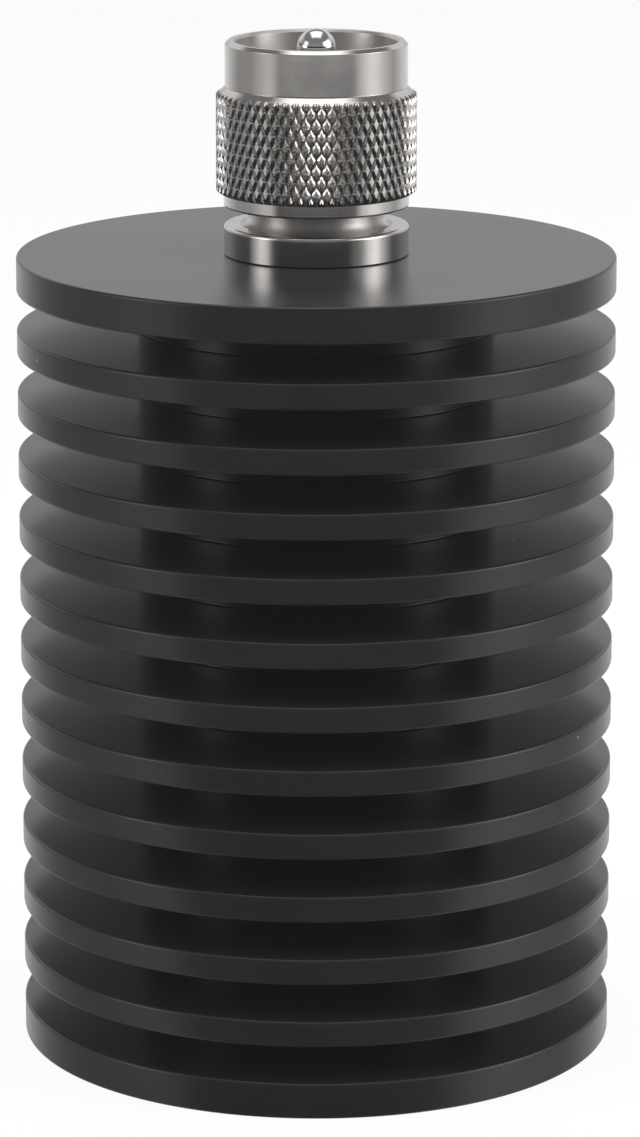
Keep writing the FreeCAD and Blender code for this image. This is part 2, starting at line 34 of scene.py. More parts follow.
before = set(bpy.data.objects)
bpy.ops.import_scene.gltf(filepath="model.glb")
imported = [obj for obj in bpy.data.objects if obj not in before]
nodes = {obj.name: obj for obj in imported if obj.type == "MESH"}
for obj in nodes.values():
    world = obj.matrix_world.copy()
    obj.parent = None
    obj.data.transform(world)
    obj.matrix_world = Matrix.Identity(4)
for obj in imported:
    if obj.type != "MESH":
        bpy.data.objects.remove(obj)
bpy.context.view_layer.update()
mm = 0.001
onAxis = 1e-6  # a radius below this, in mm, is a pole
arcSteps = 4  # steps along a rounded corner
nearlyStraight = 89  # degrees: half the angle at a corner that needs no arc
copyWeld = 1e-6  # metres, between copies that meet
seamWeld = 1e-7  # metres, between the skins of one piece
print("frame loaded:", len(nodes), "nodes")

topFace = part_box("heatsink")[1].z / mm  # the heatsink's top, where the plug stands
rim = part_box("coupling_nut")[1].z / mm
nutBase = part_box("coupling_nut")[0].z / mm
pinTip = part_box("centre_pin")[1].z / mm
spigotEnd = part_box("connector_body")[0].z / mm


# ---- shapes turned on the axis, and their clean-up

def roundCorner(before, corner, after, size):
    # swaps a corner of an outline for an arc that is tangent to both its sides
    middle = Vector(corner)
    toBefore = (Vector(before) - middle).normalized()
    toAfter = (Vector(after) - middle).normalized()
    half = toBefore.angle(toAfter) / 2
    if size <= 0 or half > math.radians(nearlyStraight):
        return [corner]
    reach = size / math.tan(half)
    centre = middle + (toBefore + toAfter).normalized() * (size / math.sin(half))
    first = middle + toBefore * reach - centre
    last = middle + toAfter * reach - centre
    sweep = math.pi - 2 * half
    if first.x * last.y < first.y * last.x:
        sweep = -sweep
    points = []
    for step in range(arcSteps + 1):
        turn = sweep * step / arcSteps
        x = first.x * math.cos(turn) - first.y * math.sin(turn)
        y = first.x * math.sin(turn) + first.y * math.cos(turn)
        points.append((centre.x + x, centre.y + y))
    return points


def roundedOutline(corners, closed=False):
    # corners are (radius, height, edge radius); an open outline keeps both its ends
    points = []
    count = len(corners)
    for index, (radius, height, size) in enumerate(corners):
        if not closed and index in (0, count - 1):
            points.append((radius, height))
            continue
        before = corners[index - 1][:2]
        after = corners[(index + 1) % count][:2]
        points += roundCorner(before, (radius, height), after, size)
    return points


def evenAngles(count):
    return [2 * math.pi * step / count for step in range(count)]


def aroundAxis(radius, angle, height):
    # a place in metres from a radius and height in millimetres
    return radius * mm * math.cos(angle), radius * mm * math.sin(angle), height * mm


def newObject(name, mesh):
    thing = bpy.data.objects.new(name, mesh)
    bpy.context.scene.collection.objects.link(thing)
    return thing


def meshObject(name, vertices, faces):
    mesh = bpy.data.meshes.new(name)
    mesh.from_pydata(vertices, [], faces)
    return newObject(name, mesh)


def turned(name, outline, angles, closed=False, radiusAt=None, columnsAt=None):
    # spins an outline about the axis; radiusAt may change a point's radius with its angle,
    # and columnsAt gives a ring's own angles
    vertices, rings, faces = [], [], []
    for radius, height in outline:
        ring = []
        if radius < onAxis:
            ring = [len(vertices)] * len(angles)
            vertices.append((0, 0, height * mm))
        else:
            for angle in columnsAt(radius) if columnsAt else angles:
                shown = radiusAt(radius, height, angle) if radiusAt else radius
                ring.append(len(vertices))
                vertices.append(aroundAxis(shown, angle, height))
        rings.append(ring)
    pairs = list(zip(rings, rings[1:]))
    if closed:
        pairs.append((rings[-1], rings[0]))
    for lower, upper in pairs:
        for step in range(len(angles)):
            following = (step + 1) % len(angles)
            corners = [lower[step], lower[following], upper[following], upper[step]]
            corners = list(dict.fromkeys(corners))  # a pole comes twice
            if len(corners) > 2:
                faces.append(corners)
    return meshObject(name, vertices, faces)


def plainMesh(thing):
    # turns modifiers into mesh
    depsgraph = bpy.context.evaluated_depsgraph_get()
    mesh = bpy.data.meshes.new_from_object(thing.evaluated_get(depsgraph))
    thing.modifiers.clear()
    old = thing.data
    thing.data = mesh
    bpy.data.meshes.remove(old)
    mesh.name = thing.name
    return thing


def joined(name, things):
    # one mesh from several, still to be welded where they meet
    whole = bmesh.new()
    for thing in things:
        whole.from_mesh(thing.data)
        bpy.data.objects.remove(thing)
    mesh = bpy.data.meshes.new(name)
    whole.to_mesh(mesh)
    whole.free()
    return newObject(name, mesh)


def finished(thing, material, sharpAngle=38):
    # welds, turns the faces outwards, keeps real edges crisp and weights the flats' normals
    shape = bmesh.new()
    shape.from_mesh(thing.data)
    bmesh.ops.remove_doubles(shape, verts=shape.verts, dist=seamWeld)
    bmesh.ops.recalc_face_normals(shape, faces=shape.faces)
    openEdges = sum(1 for edge in shape.edges if len(edge.link_faces) != 2)
    shape.to_mesh(thing.data)
    shape.free()
    thing.data.shade_smooth()
    thing.data.set_sharp_from_angle(angle=math.radians(sharpAngle))
    # weighed in millimetres, because in metres the modifier takes these faces for empty ones
    thing.data.transform(Matrix.Scale(1 / mm, 4))
    weights = thing.modifiers.new("edgeWeights", "WEIGHTED_NORMAL")
    weights.keep_sharp = True
    weights.weight = 90  # large faces count most, so that flats stay flat
    plainMesh(thing)
    thing.data.transform(Matrix.Scale(mm, 4))
    thing.data.materials.clear()
    thing.data.materials.append(material)
    print("made", thing.name, len(thing.data.polygons), "faces,", openEdges, "open edges")
    return thing


def secondFinish(piece, material, isThere):
    # gives another finish to the faces whose distance from the axis and height pass a test, in mm
    piece.data.materials.append(material)
    for face in piece.data.polygons:
        if isThere(face.center.xy.length / mm, face.center.z / mm):
            face.material_index = 1
    return piece


# ---- node helpers: a value is either a plain one or another node's output

def feed(tree, value, socket):
    if isinstance(value, bpy.types.NodeSocket):
        tree.links.new(value, socket)
    else:
        socket.default_value = value


def math2(tree, operation, first, second=0.0):
    node = tree.nodes.new("ShaderNodeMath")
    node.operation = operation
    feed(tree, first, node.inputs[0])
    feed(tree, second, node.inputs[1])
    return node.outputs[0]


def mixNode(tree, share, first, second):
    node = tree.nodes.new("ShaderNodeMix")
    tree.links.new(share, node.inputs["Factor"])
    feed(tree, first, node.inputs["A"])
    feed(tree, second, node.inputs["B"])
    return node.outputs["Result"]


def colourMix(tree, mask, first, second):
    node = tree.nodes.new("ShaderNodeMix")
    node.data_type = "RGBA"
    tree.links.new(mask, node.inputs["Factor"])
    for label, colour in (("A", first), ("B", second)):
        feed(tree, (*colour, 1) if isinstance(colour, tuple) else colour, node.inputs[label])
    return node.outputs["Result"]


def noiseNode(tree, vector, scale, detail=2.0, roughness=0.5):
    node = tree.nodes.new("ShaderNodeTexNoise")
    node.inputs["Detail"].default_value = detail
    node.inputs["Roughness"].default_value = roughness
    tree.links.new(vector, node.inputs["Vector"])
    feed(tree, scale, node.inputs["Scale"])
    return node.outputs["Fac"]


def softStep(tree, value, low, high, toLow=0.0, toHigh=1.0):
    node = tree.nodes.new("ShaderNodeMapRange")
    node.interpolation_type = "SMOOTHSTEP"
    tree.links.new(value, node.inputs["Value"])
    for label, number in (("From Min", low), ("From Max", high), ("To Min", toLow), ("To Max", toHigh)):
        node.inputs[label].default_value = number
    return node.outputs[0]


def between(tree, value, riseStart, riseEnd, fallStart, fallEnd):
    # 1 between two soft edges and 0 outside them
    rise = softStep(tree, value, riseStart, riseEnd)
    return math2(tree, "MULTIPLY", rise, softStep(tree, value, fallStart, fallEnd, 1.0, 0.0))


def upVector(tree, value):
    node = tree.nodes.new("ShaderNodeCombineXYZ")
    tree.links.new(value, node.inputs["Z"])
    return node.outputs[0]


def copyTree(name, inputs):
    # starts a tree that copies a patch, with named inputs for its sizes
    tree = bpy.data.node_groups.new(name, "GeometryNodeTree")
    sockets = {}
    for label, kind in (("Geometry", "Geometry"), *inputs, ("Finish", "Material")):
        socket = tree.interface.new_socket(label, in_out="INPUT", socket_type="NodeSocket" + kind)
        sockets[label] = socket.identifier
    tree.interface.new_socket("Geometry", in_out="OUTPUT", socket_type="NodeSocketGeometry")
    return tree, sockets, tree.nodes.new("NodeGroupInput").outputs


def copyAndWeld(tree, start, points, turn=None):
    # ends it: one copy at each point, welded into one skin, with its finish
    copies = tree.nodes.new("GeometryNodeInstanceOnPoints")
    solid = tree.nodes.new("GeometryNodeRealizeInstances")
    weld = tree.nodes.new("GeometryNodeMergeByDistance")
    finish = tree.nodes.new("GeometryNodeSetMaterial")
    end = tree.nodes.new("NodeGroupOutput")
    weld.inputs["Distance"].default_value = copyWeld
    link = tree.links.new
    link(points, copies.inputs["Points"])
    link(start["Geometry"], copies.inputs["Instance"])
    if turn is not None:
        link(turn, copies.inputs["Rotation"])
    link(copies.outputs[0], solid.inputs[0])
    link(solid.outputs[0], weld.inputs["Geometry"])
    link(weld.outputs[0], finish.inputs["Geometry"])
    link(start["Finish"], finish.inputs["Material"])
    link(finish.outputs[0], end.inputs[0])


def copied(patch, tree, sockets, values):
    modifier = patch.modifiers.new(tree.name, "NODES")
    modifier.node_group = tree
    for label, value in values.items():
        modifier[sockets[label]] = value
    return plainMesh(patch)


# ---- shader groups

def newGroup(name, inputs, output):
    # inputs other than the vector are numbers, given by their usual values
    group = bpy.data.node_groups.new(name, "ShaderNodeTree")
    group.interface.new_socket("Vector", in_out="INPUT", socket_type="NodeSocketVector")
    for label, value in inputs.items():
        socket = group.interface.new_socket(label, in_out="INPUT", socket_type="NodeSocketFloat")
        socket.default_value = value
    group.interface.new_socket(output, in_out="OUTPUT", socket_type="NodeSocketFloat")
    start = group.nodes.new("NodeGroupInput")
    end = group.nodes.new("NodeGroupOutput")
    return group, start.outputs, end.inputs


def useGroup(tree, group, vector, values):
    node = tree.nodes.new("ShaderNodeGroup")
    node.node_tree = group
    tree.links.new(vector, node.inputs["Vector"])
    for label, value in values.items():
        node.inputs[label].default_value = value
    return node.outputs[0]


def makeTurnedMarks():
    # the fine rings that a lathe tool leaves: noise that changes with radius and height only
    group, start, end = newGroup("turnedMarks", {"Rings Per Metre": 4000.0}, "Height")
    parts = group.nodes.new("ShaderNodeSeparateXYZ")
    group.links.new(start["Vector"], parts.inputs[0])
    squares = [math2(group, "POWER", parts.outputs[axis], 2.0) for axis in ("X", "Y")]
    radius = math2(group, "SQRT", math2(group, "ADD", *squares))
    ring = group.nodes.new("ShaderNodeCombineXYZ")
    group.links.new(radius, ring.inputs["X"])
    group.links.new(parts.outputs["Z"], ring.inputs["Z"])
    height = noiseNode(group, ring.outputs[0], start["Rings Per Metre"], detail=3.0, roughness=0.7)
    group.links.new(height, end["Height"])
    return group


def makeSpecks():
    # thinly scattered grains: bright where a cell's random value is low and its middle is near
    usual = {"Cells Per Metre": 900.0, "Share": 0.02, "Size": 0.12}
    group, start, end = newGroup("specks", usual, "Mask")
    cells = group.nodes.new("ShaderNodeTexVoronoi")
    group.links.new(start["Vector"], cells.inputs["Vector"])
    group.links.new(start["Cells Per Metre"], cells.inputs["Scale"])
    colour = group.nodes.new("ShaderNodeSeparateColor")
    group.links.new(cells.outputs["Color"], colour.inputs[0])
    chosen = math2(group, "LESS_THAN", colour.outputs[0], start["Share"])
    near = math2(group, "LESS_THAN", cells.outputs["Distance"], start["Size"])
    group.links.new(math2(group, "MULTIPLY", chosen, near), end["Mask"])
    return group


# ---- finishes: patterns are counted per metre and bump depths are in metres

anodisedLook = {
    "black": (0.0125, 0.0125, 0.0135),
    "greyed": (0.0145, 0.0145, 0.0155),
    "dust": (0.16, 0.16, 0.17),
    "dustGrains": {"Cells Per Metre": 620.0, "Share": 0.012, "Size": 0.10},
    "smooth": 0.235,
    "dull": 0.255,
    "patches": 90.0,
    "toneRange": (0.35, 0.7),
    "roughRange": (0.3, 0.7),
    "markRings": 5200.0,
    "markStrength": 0.10,
    "markDepth": 0.00002,
    "refraction": 1.48,
    # painted glow: an emission strength that lifts the shaded black, standing in for light in the grooves
    "paintedGlow": 0.0065,
    "paintedGlowColour": (0.93, 0.93, 1.0),
}
nickelLook = {
    "patches": 260.0,
    "darkest": 0.93,
    "roughest": (0.8, 1.4),
    "toneRange": (0.3, 0.7),
    "roughRange": (0.3, 0.75),
    "markRings": 9000.0,
    "bumpDepth": 0.00001,
    "acrossRings": 0.25,  # a quarter turn of the anisotropy
    "pits": 3600.0,
    "pitsFrom": (9.55, 9.75),  # distance from the axis, in mm
}
plainLook = {
    "grains": 1500.0,
    "darkest": 0.88,
    "roughest": (0.9, 1.15),
    "toneRange": (0.3, 0.7),
    "roughRange": (0.3, 0.7),
    "grainStrength": 0.08,
    "grainDepth": 0.00002,
}


def newMaterial(name):
    material = bpy.data.materials.new(name)
    material.use_nodes = True
    tree = material.node_tree
    shader = tree.nodes["Principled BSDF"]
    where = tree.nodes.new("ShaderNodeTexCoord").outputs["Object"]
    return material, tree, shader, where


def bump(tree, shader, height, strength, distance):
    node = tree.nodes.new("ShaderNodeBump")
    node.inputs["Strength"].default_value = strength
    node.inputs["Distance"].default_value = distance
    tree.links.new(height, node.inputs["Height"])
    tree.links.new(node.outputs[0], shader.inputs["Normal"])


def makeBlackAnodised(look):
    material, tree, shader, where = newMaterial("blackAnodised")
    patches = noiseNode(tree, where, look["patches"], detail=3.0)
    body = colourMix(tree, softStep(tree, patches, *look["toneRange"]), look["black"], look["greyed"])
    dust = useGroup(tree, specks, where, look["dustGrains"])
    tree.links.new(colourMix(tree, dust, body, look["dust"]), shader.inputs["Base Color"])
    rough = softStep(tree, patches, *look["roughRange"], look["smooth"], look["dull"])
    tree.links.new(rough, shader.inputs["Roughness"])
    marks = useGroup(tree, turnedMarks, where, {"Rings Per Metre": look["markRings"]})
    bump(tree, shader, marks, look["markStrength"], look["markDepth"])
    shader.inputs["IOR"].default_value = look["refraction"]
    # painted glow: a faint emission lifts the black, most of all in the shaded grooves, so that deep black
    # never goes quite black
    shader.inputs["Emission Color"].default_value = (*look["paintedGlowColour"], 1)
    shader.inputs["Emission Strength"].default_value = look["paintedGlow"]
    return material


def mottle(tree, shader, noise, tone, rough, look):
    # tone and roughness drift with a noise
    darker = tuple(channel * look["darkest"] for channel in tone)
    tint = colourMix(tree, softStep(tree, noise, *look["toneRange"]), tone, darker)
    tree.links.new(tint, shader.inputs["Base Color"])
    ends = [rough * share for share in look["roughest"]]
    tree.links.new(softStep(tree, noise, *look["roughRange"], *ends), shader.inputs["Roughness"])


def axisDistance(tree, where):
    sides, length = [tree.nodes.new("ShaderNodeVectorMath") for _ in range(2)]
    sides.operation = "MULTIPLY"
    sides.inputs[1].default_value = (1, 1, 0)
    tree.links.new(where, sides.inputs[0])
    length.operation = "LENGTH"
    tree.links.new(sides.outputs[0], length.inputs[0])
    return length.outputs["Value"]


def makeNickel(name, tone, rough, markStrength, turnedSpread=0.0, knurlGrain=0.0):
    look = nickelLook
    material, tree, shader, where = newMaterial(name)
    if turnedSpread:  # draws reflections out along the axis, across the tool's rings
        tangent = tree.nodes.new("ShaderNodeTangent")
        tangent.direction_type = "RADIAL"
        tangent.axis = "Z"
        tree.links.new(tangent.outputs[0], shader.inputs["Tangent"])
        shader.inputs["Anisotropic"].default_value = turnedSpread
        shader.inputs["Anisotropic Rotation"].default_value = look["acrossRings"]
    mottle(tree, shader, noiseNode(tree, where, look["patches"], detail=4.0), tone, rough, look)
    marks = useGroup(tree, turnedMarks, where, {"Rings Per Metre": look["markRings"]})
    height = math2(tree, "MULTIPLY", marks, markStrength)
    if knurlGrain:  # the rolled knurl is rougher than the turned bands, with fine pits
        edge = [radius * mm for radius in look["pitsFrom"]]
        onKnurl = softStep(tree, axisDistance(tree, where), *edge)
        pits = noiseNode(tree, where, look["pits"], detail=2.0, roughness=0.6)
        pits = math2(tree, "MULTIPLY", math2(tree, "MULTIPLY", pits, onKnurl), knurlGrain)
        height = math2(tree, "ADD", height, pits)
    bump(tree, shader, height, 1.0, look["bumpDepth"])
    shader.inputs["Metallic"].default_value = 1.0
    return material


def makePlain(name, tone, rough, metallic=0.0):
    # an even tone with a little grain
    look = plainLook
    material, tree, shader, where = newMaterial(name)
    grains = noiseNode(tree, where, look["grains"], detail=3.0)
    mottle(tree, shader, grains, tone, rough, look)
    bump(tree, shader, grains, look["grainStrength"], look["grainDepth"])
    shader.inputs["Metallic"].default_value = metallic
    return material


turnedMarks = makeTurnedMarks()
specks = makeSpecks()
blackAnodised = makeBlackAnodised(anodisedLook)
nickel = makeNickel("brightNickel", (0.66, 0.635, 0.615), 0.10, 0.12, knurlGrain=3.0)
boreNickel = makeNickel("boreNickel", (0.74, 0.715, 0.695), 0.38, 0.12, turnedSpread=0.85)
pinPlate = makeNickel("pinPlate", (0.80, 0.79, 0.77), 0.09, 0.08)
fluoropolymer = makePlain("fluoropolymer", (0.82, 0.82, 0.80), 0.42)
print("materials ready")


# ---- heatsink: end discs, and one groove and fin repeated up the core

heatsink = {
    "radius": 29.985,
    "coreRadius": 17.8,
    "endDisc": 3.6,
    "fin": 2.6,
    "gap": 3.72,
    "grooves": 12,
    "edge": 0.28,
    "rootRound": 0.12,
    "boreRadius": 7.5,
    "boreDepth": 45.0,
    "boreFloorRound": 0.3,
    "spigotBoreRadius": 8.05,
    "spigotBoreDepth": 9.0,
    "ledgeEdge": 0.1,
    "mouthBevel": 0.5,
    "bevelEdge": 0.05,
    "segments": 256,
}


def repeatUp(patch, count, pitch, material):
    # repeats a band of the heatsink up the axis
    tree, sockets, start = copyTree("repeatUp", [("Copies", "Int"), ("Pitch", "Float")])
    line = tree.nodes.new("GeometryNodeMeshLine")
    tree.links.new(start["Copies"], line.inputs["Count"])
    tree.links.new(upVector(tree, start["Pitch"]), line.inputs["Offset"])
    copyAndWeld(tree, start, line.outputs[0])
    return copied(patch, tree, sockets, {"Copies": count, "Pitch": pitch, "Finish": material})


def makeHeatsink(sizes):
    outer, core, edge, root = (sizes[key] for key in ("radius", "coreRadius", "edge", "rootRound"))
    first = sizes["endDisc"]
    gap = sizes["gap"]
    pitch = sizes["fin"] + gap
    middle = gap / 2
    angles = evenAngles(sizes["segments"])
    # from the middle of one groove over a fin to the middle of the next groove
    band = roundedOutline([
        (core, first + middle, 0),
        (core, first + gap, root),
        (outer, first + gap, edge),
        (outer, first + pitch, edge),
        (core, first + pitch, root),
        (core, first + pitch + middle, 0),
    ])
    fins = turned("finBand", band, angles)
    repeatUp(fins, sizes["grooves"] - 1, pitch * mm, blackAnodised)
    base = roundedOutline([
        (0, 0, 0),
        (outer, 0, edge),
        (outer, first, edge),
        (core, first, root),
        (core, first + middle, 0),
    ])
    boreFloor = topFace - sizes["boreDepth"]
    spigotFloor = topFace - sizes["spigotBoreDepth"]
    spigotBore, bevel = sizes["spigotBoreRadius"], sizes["mouthBevel"]
    cap = roundedOutline([
        (core, topFace - first - middle, 0),
        (core, topFace - first, root),
        (outer, topFace - first, edge),
        (outer, topFace, edge),
        (spigotBore + bevel, topFace, sizes["bevelEdge"]),
        (spigotBore, topFace - bevel, sizes["bevelEdge"]),
        (spigotBore, spigotFloor, sizes["ledgeEdge"]),
        (sizes["boreRadius"], spigotFloor, sizes["ledgeEdge"]),
        (sizes["boreRadius"], boreFloor, sizes["boreFloorRound"]),
        (0, boreFloor, 0),
    ])
    ends = [turned("baseDisc", base, angles), turned("topDisc", cap, angles)]
    return finished(joined("finnedHeatsink", [fins, *ends]), blackAnodised)


heatsinkPiece = makeHeatsink(heatsink)


# ---- coupling nut: turned shell, threaded bore, and the diamond knurl

nut = {
    "bandRadius": 9.25,
    "bandHeight": 1.35,
    "bandEdge": 0.25,
    "knurlRadius": 10.0,
    "knurlDepth": 0.215,
    "knurlLength": 10.2,
    "diamonds": 60,
    "halfRows": 9,
    "stepsPerSide": 4,
    "crestStart": 0.5,  # shares of a diamond's half width, of the depth and of a row
    "crestLevel": 0.93,
    "endChamfer": 0.25,
    "coneHeight": 0.4,
    "coneEdge": 0.06,
    "sleeveRadius": 9.1,
    "sleeveStep": 0.02,
    "footGroove": 0.06,
    "footEdge": 0.03,
    "grooveEdge": 0.02,
    "rimBevel": 0.35,
    "mouthRadius": 8.05,
    "mouthDepth": 2.8,
    "mouthBevel": 0.25,
    "mouthRound": 0.15,
    "lipBore": 6.86,
    "lipHeight": 2.55,
    "ringPocket": 7.7,
    "ringHalfWidth": 0.6,
    "reliefRadius": 8.1,
    "reliefLength": 2.0,
    "threadMinor": 7.475,
    "threadDepth": 0.46,
    "threadPitch": 1.058,
    "threadCrest": 0.22,  # shares of the pitch
    "threadRoot": 0.12,
    "threadRunIn": 0.4,
    "threadRunOut": 0.15,
    "rowsPerPitch": 8,
    "edge": 0.08,
    "sharpAngle": 32,
}


def threadProfile(sizes, phase):
    # 0 on the thread's crest and 1 in its root, with straight flanks between
    crest, root = sizes["threadCrest"], sizes["threadRoot"]
    flank = (1 - crest - root) / 2
    phase = phase % 1.0
    if phase < crest:
        return 0.0
    if phase < crest + flank:
        return (phase - crest) / flank
    if phase < crest + flank + root:
        return 1.0
    return (1.0 - phase) / flank


def diamondHeight(sizes, across, along, fromEnd):
    # share of the knurl's depth at a place on one diamond, both measured from its point;
    # steep sides end in a crest that is almost flat
    rise = 1 - abs(across) - abs(along)
    start, crest = sizes["crestStart"], sizes["crestLevel"]
    level = rise / start * crest if rise < start else crest + (1 - crest) * (rise - start) / (1 - start)
    # the knurl's ends are chamfered to below its grooves
    return min(level, 2 * fromEnd / sizes["endChamfer"] - 1)


def diamondPatch(name, sizes, side, rowsIn):
    # one diamond of the knurl, its point at angle 0 and height 0; side is 1 near the foot, -1 near
    # the head and 0 between, and the row at an end, 0 rows in, is cut in half
    steps = sizes["stepsPerSide"]
    root = sizes["knurlRadius"] - sizes["knurlDepth"]
    halfTurn = math.pi / sizes["diamonds"]
    rowHeight = sizes["knurlLength"] / sizes["halfRows"]
    vertices, faces = [], []
    for right in range(steps + 1):
        for up in range(steps + 1):
            across = (right - up) / steps
            along = (right + up) / steps - 1
            fromEnd = rowsIn + side * along if side else 1
            radius = root + sizes["knurlDepth"] * diamondHeight(sizes, across, along, fromEnd)
            vertices.append(aroundAxis(radius, across * halfTurn, along * rowHeight))
    for right in range(steps):
        for up in range(steps):
            here = right * (steps + 1) + up
            far = here + steps + 2
            beside, above = here + steps + 1, here + 1
            # faces on the diamond's middle line fold along it, and the others upwards
            if right + up == steps - 1:
                pairs = [(here, beside, above), (beside, far, above)]
            else:
                pairs = [(here, beside, far), (here, far, above)]
            for corners in pairs:
                level = sum(vertices[corner][2] for corner in corners)
                if rowsIn or level * side >= 0:
                    faces.append(corners)
    patch = meshObject(name, vertices, faces)
    shape = bmesh.new()
    shape.from_mesh(patch.data)
    loose = [vertex for vertex in shape.verts if not vertex.link_faces]
    bmesh.ops.delete(shape, geom=loose, context="VERTS")
    shape.to_mesh(patch.data)
    shape.free()
    return patch


def knurlTree():
    # rows of diamonds round the axis: every second row is turned by half a diamond
    tree, sockets, start = copyTree("diamondKnurl", [
        ("Diamonds", "Int"), ("Rows", "Int"), ("First Row", "Int"), ("Row Height", "Float"),
        ("Knurl Foot", "Float"),
    ])
    count = start["Diamonds"]
    index = tree.nodes.new("GeometryNodeInputIndex").outputs[0]
    rowsUp = math2(tree, "FLOOR", math2(tree, "DIVIDE", index, count))
    row = math2(tree, "ADD", rowsUp, start["First Row"])
    column = math2(tree, "MODULO", index, count)
    shift = math2(tree, "MODULO", math2(tree, "ADD", row, 1.0), 2.0)
    halfColumns = math2(tree, "ADD", math2(tree, "MULTIPLY", column, 2.0), shift)
    angle = math2(tree, "DIVIDE", math2(tree, "MULTIPLY", halfColumns, math.pi), count)
    rise = math2(tree, "MULTIPLY", row, start["Row Height"])
    points = tree.nodes.new("GeometryNodePoints")
    tree.links.new(math2(tree, "MULTIPLY", count, start["Rows"]), points.inputs["Count"])
    place = upVector(tree, math2(tree, "ADD", rise, start["Knurl Foot"]))
    tree.links.new(place, points.inputs["Position"])
    copyAndWeld(tree, start, points.outputs[0], upVector(tree, angle))
    return tree, sockets


def makeKnurl(sizes, foot):
    tree, sockets = knurlTree()
    last = sizes["halfRows"]
    bands = []
    for name, side, rowsIn, firstRow, rows in (
        ("knurlFoot", 1, 0, 0, 1),
        ("knurlSecond", 1, 1, 1, 1),
        ("knurlRows", 0, 2, 2, last - 3),
        ("knurlLastButOne", -1, 1, last - 1, 1),
        ("knurlHead", -1, 0, last, 1),
    ):
        bands.append(copied(diamondPatch(name, sizes, side, rowsIn), tree, sockets, {
            "Diamonds": sizes["diamonds"],
            "Rows": rows,
            "First Row": firstRow,
            "Row Height": sizes["knurlLength"] / sizes["halfRows"] * mm,
            "Knurl Foot": foot * mm,
            "Finish": nickel,
        }))
    return bands


def makeNut(sizes):
    bandTop = nutBase + sizes["bandHeight"]
    knurlTop = bandTop + sizes["knurlLength"]
    coneTop = knurlTop + sizes["coneHeight"]
    root = sizes["knurlRadius"] - 2 * sizes["knurlDepth"]
    sleeve, edge, thread = sizes["sleeveRadius"], sizes["edge"], sizes["threadMinor"]
    band, lipBore, pocket = sizes["bandRadius"], sizes["lipBore"], sizes["ringPocket"]
    mouth, bevel, relief = sizes["mouthRadius"], sizes["mouthBevel"], sizes["reliefRadius"]
    groove, rimBevel = sizes["footGroove"], sizes["rimBevel"]
    angles = evenAngles(sizes["diamonds"] * sizes["stepsPerSide"])
    lipTop = nutBase + sizes["lipHeight"]
    mouthFloor = rim - sizes["mouthDepth"]
    reliefTop = lipTop + sizes["reliefLength"]
    threadStart = reliefTop + relief - thread
    threadEnd = mouthFloor - (mouth - thread)
    ringMiddle = nutBase + sizes["lipHeight"] / 2
    half = sizes["ringHalfWidth"]
    lower = roundedOutline([
        (root, bandTop, 0),
        (band, bandTop, edge),
        (band, nutBase, sizes["bandEdge"]),
        (lipBore, nutBase, edge),
        (lipBore, ringMiddle - half, edge),
        (pocket, ringMiddle - half, edge),
        (pocket, ringMiddle + half, edge),
        (lipBore, ringMiddle + half, edge),
        (lipBore, lipTop, edge),
        (relief, lipTop, edge),
        (relief, reliefTop, edge),
        (thread, threadStart, 0),
    ])
    upper = roundedOutline([
        (thread, threadEnd, 0),
        (mouth, mouthFloor, sizes["mouthRound"]),
        (mouth, rim - bevel, edge),
        (mouth + bevel, rim, edge),
        (sleeve - rimBevel, rim, edge),
        (sleeve, rim - rimBevel, edge),
        (sleeve, coneTop + 2 * groove, sizes["footEdge"]),
        (sleeve - groove, coneTop + groove, sizes["grooveEdge"]),
        (sleeve + sizes["sleeveStep"], coneTop, sizes["coneEdge"]),
        (root, knurlTop, 0),
    ])
    rows = round((threadEnd - threadStart) / sizes["threadPitch"] * sizes["rowsPerPitch"])
    wall = [(thread, threadStart + (threadEnd - threadStart) * row / rows) for row in range(rows + 1)]

    def threadRadius(radius, height, angle):
        # the thread fades in and out at its ends
        runIn = (height - threadStart) / sizes["threadRunIn"]
        fade = min(runIn, (threadEnd - height) / sizes["threadRunOut"], 1.0)
        phase = height / sizes["threadPitch"] - angle / (2 * math.pi)
        return radius + sizes["threadDepth"] * threadProfile(sizes, phase) * max(fade, 0.0)

    skins = [
        turned("nutLower", lower, angles),
        turned("nutThread", wall, angles, radiusAt=threadRadius),
        turned("nutUpper", upper, angles),
    ]
    whole = joined("couplingNut", skins + makeKnurl(sizes, bandTop))
    piece = finished(whole, nickel, sizes["sharpAngle"])
    # the bore is left as turned, less bright than the outside
    reach = mouth + bevel / 2
    return secondFinish(piece, boreNickel, lambda radius, height: radius < reach and height > lipTop)


nutPiece = makeNut(nut)


# ---- connector body: seat collar, neck, toothed shoulder and pilot tube

plug = {
    "spigotRadius": 8.0,
    "spigotBevel": 0.5,
    "collarRadius": 9.25,
    "collarHeight": 3.0,
    "collarRound": 0.36,
    "footBevel": 0.12,
    "footEdge": 0.03,
    "footTopEdge": 0.05,
    "neckRadius": 6.8,
    "neckRound": 0.8,
    "ringSeat": 6.05,
    "shoulderHeight": 8.8,
    "skirtHeight": 0.3,
    "pilotRadius": 6.1,
    "pilotHeight": 11.8,
    "pilotBore": 4.7,
    "boreRadius": 5.1,
    "boreStep": 7.8,
    "teeth": 12,
    "toothHeight": 0.8,
    "slotWidth": 1.6,
    "columnsPerTooth": 24,
    "edge": 0.08,
}


